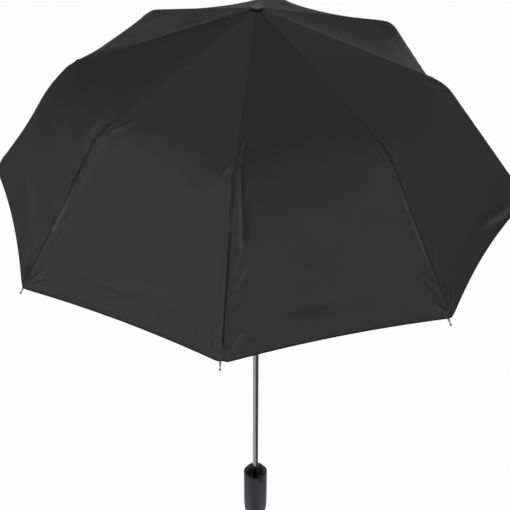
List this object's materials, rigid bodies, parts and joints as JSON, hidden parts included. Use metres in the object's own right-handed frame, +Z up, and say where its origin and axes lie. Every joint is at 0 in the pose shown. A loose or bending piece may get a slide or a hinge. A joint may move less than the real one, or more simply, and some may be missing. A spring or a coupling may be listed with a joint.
{
  "type": "folding umbrella",
  "caption": "Folding umbrella with a tensioned cloth canopy on ribs that fold in three, a telescopic shaft and a cup shaped handle.",
  "frame": {"origin": "centre of the flat end of the handle", "axes": "+Z up along the shaft to the crown, -Y to the front, where rib 0 points"},
  "size_m": [0.7626, 0.7626, 0.9869],
  "materials": {
    "soft_grip": "soft touch coating over moulded plastic",
    "black_plastic": "moulded, satin",
    "cap_plastic": "moulded, satin",
    "chrome_tube": "bright plated steel tube",
    "rib_steel": "black lacquered steel",
    "bright_steel": "nickel plated",
    "canopy_cloth": "fine plain weave, slight satin sheen"
  },
  "bodies": {
    "handle": {"handle_shell": "soft_grip", "handle_end_cap": "soft_grip", "tube_holder": "black_plastic", "handle_pin": "bright_steel", "lower_tube": "chrome_tube"},
    "middle_tube": {"middle_tube": "chrome_tube"},
    "upper_tube": {"upper_tube": "chrome_tube", "top_notch": "black_plastic", "notch_wire": "bright_steel", "notch_pin": "bright_steel", "crown_washer": "black_plastic", "top_cap": "cap_plastic", "canopy": "canopy_cloth"},
    "runner": {"runner": "black_plastic"},
    "runner_catch": {"runner_catch": "bright_steel"},
    "middle_tube_catch": {"middle_tube_catch": "bright_steel"},
    "upper_tube_catch": {"upper_tube_catch": "bright_steel"},
    "top_rib_0": {"top_rib_0": "rib_steel"},
    "stretcher_0": {"stretcher_0": "rib_steel"},
    "link_0": {"link_0": "rib_steel"},
    "outer_rib_0": {"outer_rib_0": "rib_steel", "rib_tip_0": "bright_steel"},
    "top_rib_1": {"top_rib_1": "rib_steel"},
    "stretcher_1": {"stretcher_1": "rib_steel"},
    "link_1": {"link_1": "rib_steel"},
    "outer_rib_1": {"outer_rib_1": "rib_steel", "rib_tip_1": "bright_steel"},
    "top_rib_2": {"top_rib_2": "rib_steel"},
    "stretcher_2": {"stretcher_2": "rib_steel"},
    "link_2": {"link_2": "rib_steel"},
    "outer_rib_2": {"outer_rib_2": "rib_steel", "rib_tip_2": "bright_steel"},
    "top_rib_3": {"top_rib_3": "rib_steel"},
    "stretcher_3": {"stretcher_3": "rib_steel"},
    "link_3": {"link_3": "rib_steel"},
    "outer_rib_3": {"outer_rib_3": "rib_steel", "rib_tip_3": "bright_steel"},
    "top_rib_4": {"top_rib_4": "rib_steel"},
    "stretcher_4": {"stretcher_4": "rib_steel"},
    "link_4": {"link_4": "rib_steel"},
    "outer_rib_4": {"outer_rib_4": "rib_steel", "rib_tip_4": "bright_steel"},
    "top_rib_5": {"top_rib_5": "rib_steel"},
    "stretcher_5": {"stretcher_5": "rib_steel"},
    "link_5": {"link_5": "rib_steel"},
    "outer_rib_5": {"outer_rib_5": "rib_steel", "rib_tip_5": "bright_steel"},
    "top_rib_6": {"top_rib_6": "rib_steel"},
    "stretcher_6": {"stretcher_6": "rib_steel"},
    "link_6": {"link_6": "rib_steel"},
    "outer_rib_6": {"outer_rib_6": "rib_steel", "rib_tip_6": "bright_steel"},
    "top_rib_7": {"top_rib_7": "rib_steel"},
    "stretcher_7": {"stretcher_7": "rib_steel"},
    "link_7": {"link_7": "rib_steel"},
    "outer_rib_7": {"outer_rib_7": "rib_steel", "rib_tip_7": "bright_steel"}
  },
  "joints": [
    {"name": "middle_tube_slide", "type": "slide", "parent": "handle", "child": "middle_tube", "axis": [0, 0, -1], "range_m": [0, 0.3], "deforming": ["middle_tube_catch"]},
    {"name": "upper_tube_slide", "type": "slide", "parent": "middle_tube", "child": "upper_tube", "axis": [0, 0, -1], "range_m": [0, 0.217], "deforming": ["upper_tube_catch"]},
    {"name": "runner_slide", "type": "slide", "parent": "upper_tube", "child": "runner", "axis": [0, 0, -1], "range_m": [0, 0.13747], "deforming": ["canopy", "runner_catch"]},
    {"name": "runner_catch_press", "type": "slide", "parent": "upper_tube", "child": "runner_catch", "axis": [0, 1, 0], "range_m": [0, 0.0028], "stiffness_N_per_m": 800},
    {"name": "middle_tube_catch_press", "type": "slide", "parent": "handle", "child": "middle_tube_catch", "axis": [0, 1, 0], "range_m": [0, 0.0018], "stiffness_N_per_m": 1000},
    {"name": "upper_tube_catch_press", "type": "slide", "parent": "middle_tube", "child": "upper_tube_catch", "axis": [0, 1, 0], "range_m": [0, 0.0018], "stiffness_N_per_m": 1000},
    {"name": "top_rib_0_hinge", "type": "hinge", "parent": "upper_tube", "child": "top_rib_0", "pos_m": [-0.0012, -0.01294, 0.97906], "axis": [0.9957, -0.0924, 0], "range_deg": [0, 67.97]},
    {"name": "stretcher_0_hinge", "type": "hinge", "parent": "top_rib_0", "child": "stretcher_0", "pos_m": [-0.01062, -0.11448, 0.9378], "axis": [0.9957, -0.0924, 0], "range_deg": [-135.94, 0]},
    {"name": "link_0_hinge", "type": "hinge", "parent": "top_rib_0", "child": "link_0", "pos_m": [-0.01747, -0.18826, 0.90781], "axis": [0.9957, -0.0924, 0], "range_deg": [-180, 0]},
    {"name": "outer_rib_0_hinge", "type": "hinge", "parent": "link_0", "child": "outer_rib_0", "pos_m": [-0.02295, -0.24734, 0.8838], "axis": [0.9957, -0.0924, 0], "range_deg": [0, 149.12]},
    {"name": "top_rib_1_hinge", "type": "hinge", "parent": "upper_tube", "child": "top_rib_1", "pos_m": [0.0083, -0.01, 0.97906], "axis": [0.7694, 0.6388, 0], "range_deg": [0, 67.97]},
    {"name": "stretcher_1_hinge", "type": "hinge", "parent": "top_rib_1", "child": "stretcher_1", "pos_m": [0.07344, -0.08846, 0.9378], "axis": [0.7694, 0.6388, 0], "range_deg": [-135.94, 0]},
    {"name": "link_1_hinge", "type": "hinge", "parent": "top_rib_1", "child": "link_1", "pos_m": [0.12077, -0.14547, 0.90781], "axis": [0.7694, 0.6388, 0], "range_deg": [-180, 0]},
    {"name": "outer_rib_1_hinge", "type": "hinge", "parent": "link_1", "child": "outer_rib_1", "pos_m": [0.15867, -0.19112, 0.8838], "axis": [0.7694, 0.6388, 0], "range_deg": [0, 149.12]},
    {"name": "top_rib_2_hinge", "type": "hinge", "parent": "upper_tube", "child": "top_rib_2", "pos_m": [0.01294, -0.0012, 0.97906], "axis": [0.0924, 0.9957, 0], "range_deg": [0, 67.97]},
    {"name": "stretcher_2_hinge", "type": "hinge", "parent": "top_rib_2", "child": "stretcher_2", "pos_m": [0.11448, -0.01062, 0.9378], "axis": [0.0924, 0.9957, 0], "range_deg": [-135.94, 0]},
    {"name": "link_2_hinge", "type": "hinge", "parent": "top_rib_2", "child": "link_2", "pos_m": [0.18826, -0.01747, 0.90781], "axis": [0.0924, 0.9957, 0], "range_deg": [-180, 0]},
    {"name": "outer_rib_2_hinge", "type": "hinge", "parent": "link_2", "child": "outer_rib_2", "pos_m": [0.24734, -0.02295, 0.8838], "axis": [0.0924, 0.9957, 0], "range_deg": [0, 149.12]},
    {"name": "top_rib_3_hinge", "type": "hinge", "parent": "upper_tube", "child": "top_rib_3", "pos_m": [0.01, 0.0083, 0.97906], "axis": [-0.6388, 0.7694, 0], "range_deg": [0, 67.97]},
    {"name": "stretcher_3_hinge", "type": "hinge", "parent": "top_rib_3", "child": "stretcher_3", "pos_m": [0.08846, 0.07344, 0.9378], "axis": [-0.6388, 0.7694, 0], "range_deg": [-135.94, 0]},
    {"name": "link_3_hinge", "type": "hinge", "parent": "top_rib_3", "child": "link_3", "pos_m": [0.14547, 0.12077, 0.90781], "axis": [-0.6388, 0.7694, 0], "range_deg": [-180, 0]},
    {"name": "outer_rib_3_hinge", "type": "hinge", "parent": "link_3", "child": "outer_rib_3", "pos_m": [0.19112, 0.15867, 0.8838], "axis": [-0.6388, 0.7694, 0], "range_deg": [0, 149.12]},
    {"name": "top_rib_4_hinge", "type": "hinge", "parent": "upper_tube", "child": "top_rib_4", "pos_m": [0.0012, 0.01294, 0.97906], "axis": [-0.9957, 0.0924, 0], "range_deg": [0, 67.97]},
    {"name": "stretcher_4_hinge", "type": "hinge", "parent": "top_rib_4", "child": "stretcher_4", "pos_m": [0.01062, 0.11448, 0.9378], "axis": [-0.9957, 0.0924, 0], "range_deg": [-135.94, 0]},
    {"name": "link_4_hinge", "type": "hinge", "parent": "top_rib_4", "child": "link_4", "pos_m": [0.01747, 0.18826, 0.90781], "axis": [-0.9957, 0.0924, 0], "range_deg": [-180, 0]},
    {"name": "outer_rib_4_hinge", "type": "hinge", "parent": "link_4", "child": "outer_rib_4", "pos_m": [0.02295, 0.24734, 0.8838], "axis": [-0.9957, 0.0924, 0], "range_deg": [0, 149.12]},
    {"name": "top_rib_5_hinge", "type": "hinge", "parent": "upper_tube", "child": "top_rib_5", "pos_m": [-0.0083, 0.01, 0.97906], "axis": [-0.7694, -0.6388, 0], "range_deg": [0, 67.97]},
    {"name": "stretcher_5_hinge", "type": "hinge", "parent": "top_rib_5", "child": "stretcher_5", "pos_m": [-0.07344, 0.08846, 0.9378], "axis": [-0.7694, -0.6388, 0], "range_deg": [-135.94, 0]},
    {"name": "link_5_hinge", "type": "hinge", "parent": "top_rib_5", "child": "link_5", "pos_m": [-0.12077, 0.14547, 0.90781], "axis": [-0.7694, -0.6388, 0], "range_deg": [-180, 0]},
    {"name": "outer_rib_5_hinge", "type": "hinge", "parent": "link_5", "child": "outer_rib_5", "pos_m": [-0.15867, 0.19112, 0.8838], "axis": [-0.7694, -0.6388, 0], "range_deg": [0, 149.12]},
    {"name": "top_rib_6_hinge", "type": "hinge", "parent": "upper_tube", "child": "top_rib_6", "pos_m": [-0.01294, 0.0012, 0.97906], "axis": [-0.0924, -0.9957, 0], "range_deg": [0, 67.97]},
    {"name": "stretcher_6_hinge", "type": "hinge", "parent": "top_rib_6", "child": "stretcher_6", "pos_m": [-0.11448, 0.01062, 0.9378], "axis": [-0.0924, -0.9957, 0], "range_deg": [-135.94, 0]},
    {"name": "link_6_hinge", "type": "hinge", "parent": "top_rib_6", "child": "link_6", "pos_m": [-0.18826, 0.01747, 0.90781], "axis": [-0.0924, -0.9957, 0], "range_deg": [-180, 0]},
    {"name": "outer_rib_6_hinge", "type": "hinge", "parent": "link_6", "child": "outer_rib_6", "pos_m": [-0.24734, 0.02295, 0.8838], "axis": [-0.0924, -0.9957, 0], "range_deg": [0, 149.12]},
    {"name": "top_rib_7_hinge", "type": "hinge", "parent": "upper_tube", "child": "top_rib_7", "pos_m": [-0.01, -0.0083, 0.97906], "axis": [0.6388, -0.7694, 0], "range_deg": [0, 67.97]},
    {"name": "stretcher_7_hinge", "type": "hinge", "parent": "top_rib_7", "child": "stretcher_7", "pos_m": [-0.08846, -0.07344, 0.9378], "axis": [0.6388, -0.7694, 0], "range_deg": [-135.94, 0]},
    {"name": "link_7_hinge", "type": "hinge", "parent": "top_rib_7", "child": "link_7", "pos_m": [-0.14547, -0.12077, 0.90781], "axis": [0.6388, -0.7694, 0], "range_deg": [-180, 0]},
    {"name": "outer_rib_7_hinge", "type": "hinge", "parent": "link_7", "child": "outer_rib_7", "pos_m": [-0.19112, -0.15867, 0.8838], "axis": [0.6388, -0.7694, 0], "range_deg": [0, 149.12]}
  ],
  "couplings": [
    {"joint": "top_rib_0_hinge", "follows": "runner_slide", "rad_per_m": 8.6291},
    {"joint": "stretcher_0_hinge", "follows": "runner_slide", "rad_per_m": -17.258},
    {"joint": "link_0_hinge", "follows": "runner_slide", "rad_per_m": -22.853},
    {"joint": "outer_rib_0_hinge", "follows": "runner_slide", "rad_per_m": 18.932},
    {"joint": "top_rib_1_hinge", "follows": "runner_slide", "rad_per_m": 8.6291},
    {"joint": "stretcher_1_hinge", "follows": "runner_slide", "rad_per_m": -17.258},
    {"joint": "link_1_hinge", "follows": "runner_slide", "rad_per_m": -22.853},
    {"joint": "outer_rib_1_hinge", "follows": "runner_slide", "rad_per_m": 18.932},
    {"joint": "top_rib_2_hinge", "follows": "runner_slide", "rad_per_m": 8.6291},
    {"joint": "stretcher_2_hinge", "follows": "runner_slide", "rad_per_m": -17.258},
    {"joint": "link_2_hinge", "follows": "runner_slide", "rad_per_m": -22.853},
    {"joint": "outer_rib_2_hinge", "follows": "runner_slide", "rad_per_m": 18.932},
    {"joint": "top_rib_3_hinge", "follows": "runner_slide", "rad_per_m": 8.6291},
    {"joint": "stretcher_3_hinge", "follows": "runner_slide", "rad_per_m": -17.258},
    {"joint": "link_3_hinge", "follows": "runner_slide", "rad_per_m": -22.853},
    {"joint": "outer_rib_3_hinge", "follows": "runner_slide", "rad_per_m": 18.932},
    {"joint": "top_rib_4_hinge", "follows": "runner_slide", "rad_per_m": 8.6291},
    {"joint": "stretcher_4_hinge", "follows": "runner_slide", "rad_per_m": -17.258},
    {"joint": "link_4_hinge", "follows": "runner_slide", "rad_per_m": -22.853},
    {"joint": "outer_rib_4_hinge", "follows": "runner_slide", "rad_per_m": 18.932},
    {"joint": "top_rib_5_hinge", "follows": "runner_slide", "rad_per_m": 8.6291},
    {"joint": "stretcher_5_hinge", "follows": "runner_slide", "rad_per_m": -17.258},
    {"joint": "link_5_hinge", "follows": "runner_slide", "rad_per_m": -22.853},
    {"joint": "outer_rib_5_hinge", "follows": "runner_slide", "rad_per_m": 18.932},
    {"joint": "top_rib_6_hinge", "follows": "runner_slide", "rad_per_m": 8.6291},
    {"joint": "stretcher_6_hinge", "follows": "runner_slide", "rad_per_m": -17.258},
    {"joint": "link_6_hinge", "follows": "runner_slide", "rad_per_m": -22.853},
    {"joint": "outer_rib_6_hinge", "follows": "runner_slide", "rad_per_m": 18.932},
    {"joint": "top_rib_7_hinge", "follows": "runner_slide", "rad_per_m": 8.6291},
    {"joint": "stretcher_7_hinge", "follows": "runner_slide", "rad_per_m": -17.258},
    {"joint": "link_7_hinge", "follows": "runner_slide", "rad_per_m": -22.853},
    {"joint": "outer_rib_7_hinge", "follows": "runner_slide", "rad_per_m": 18.932}
  ]
}
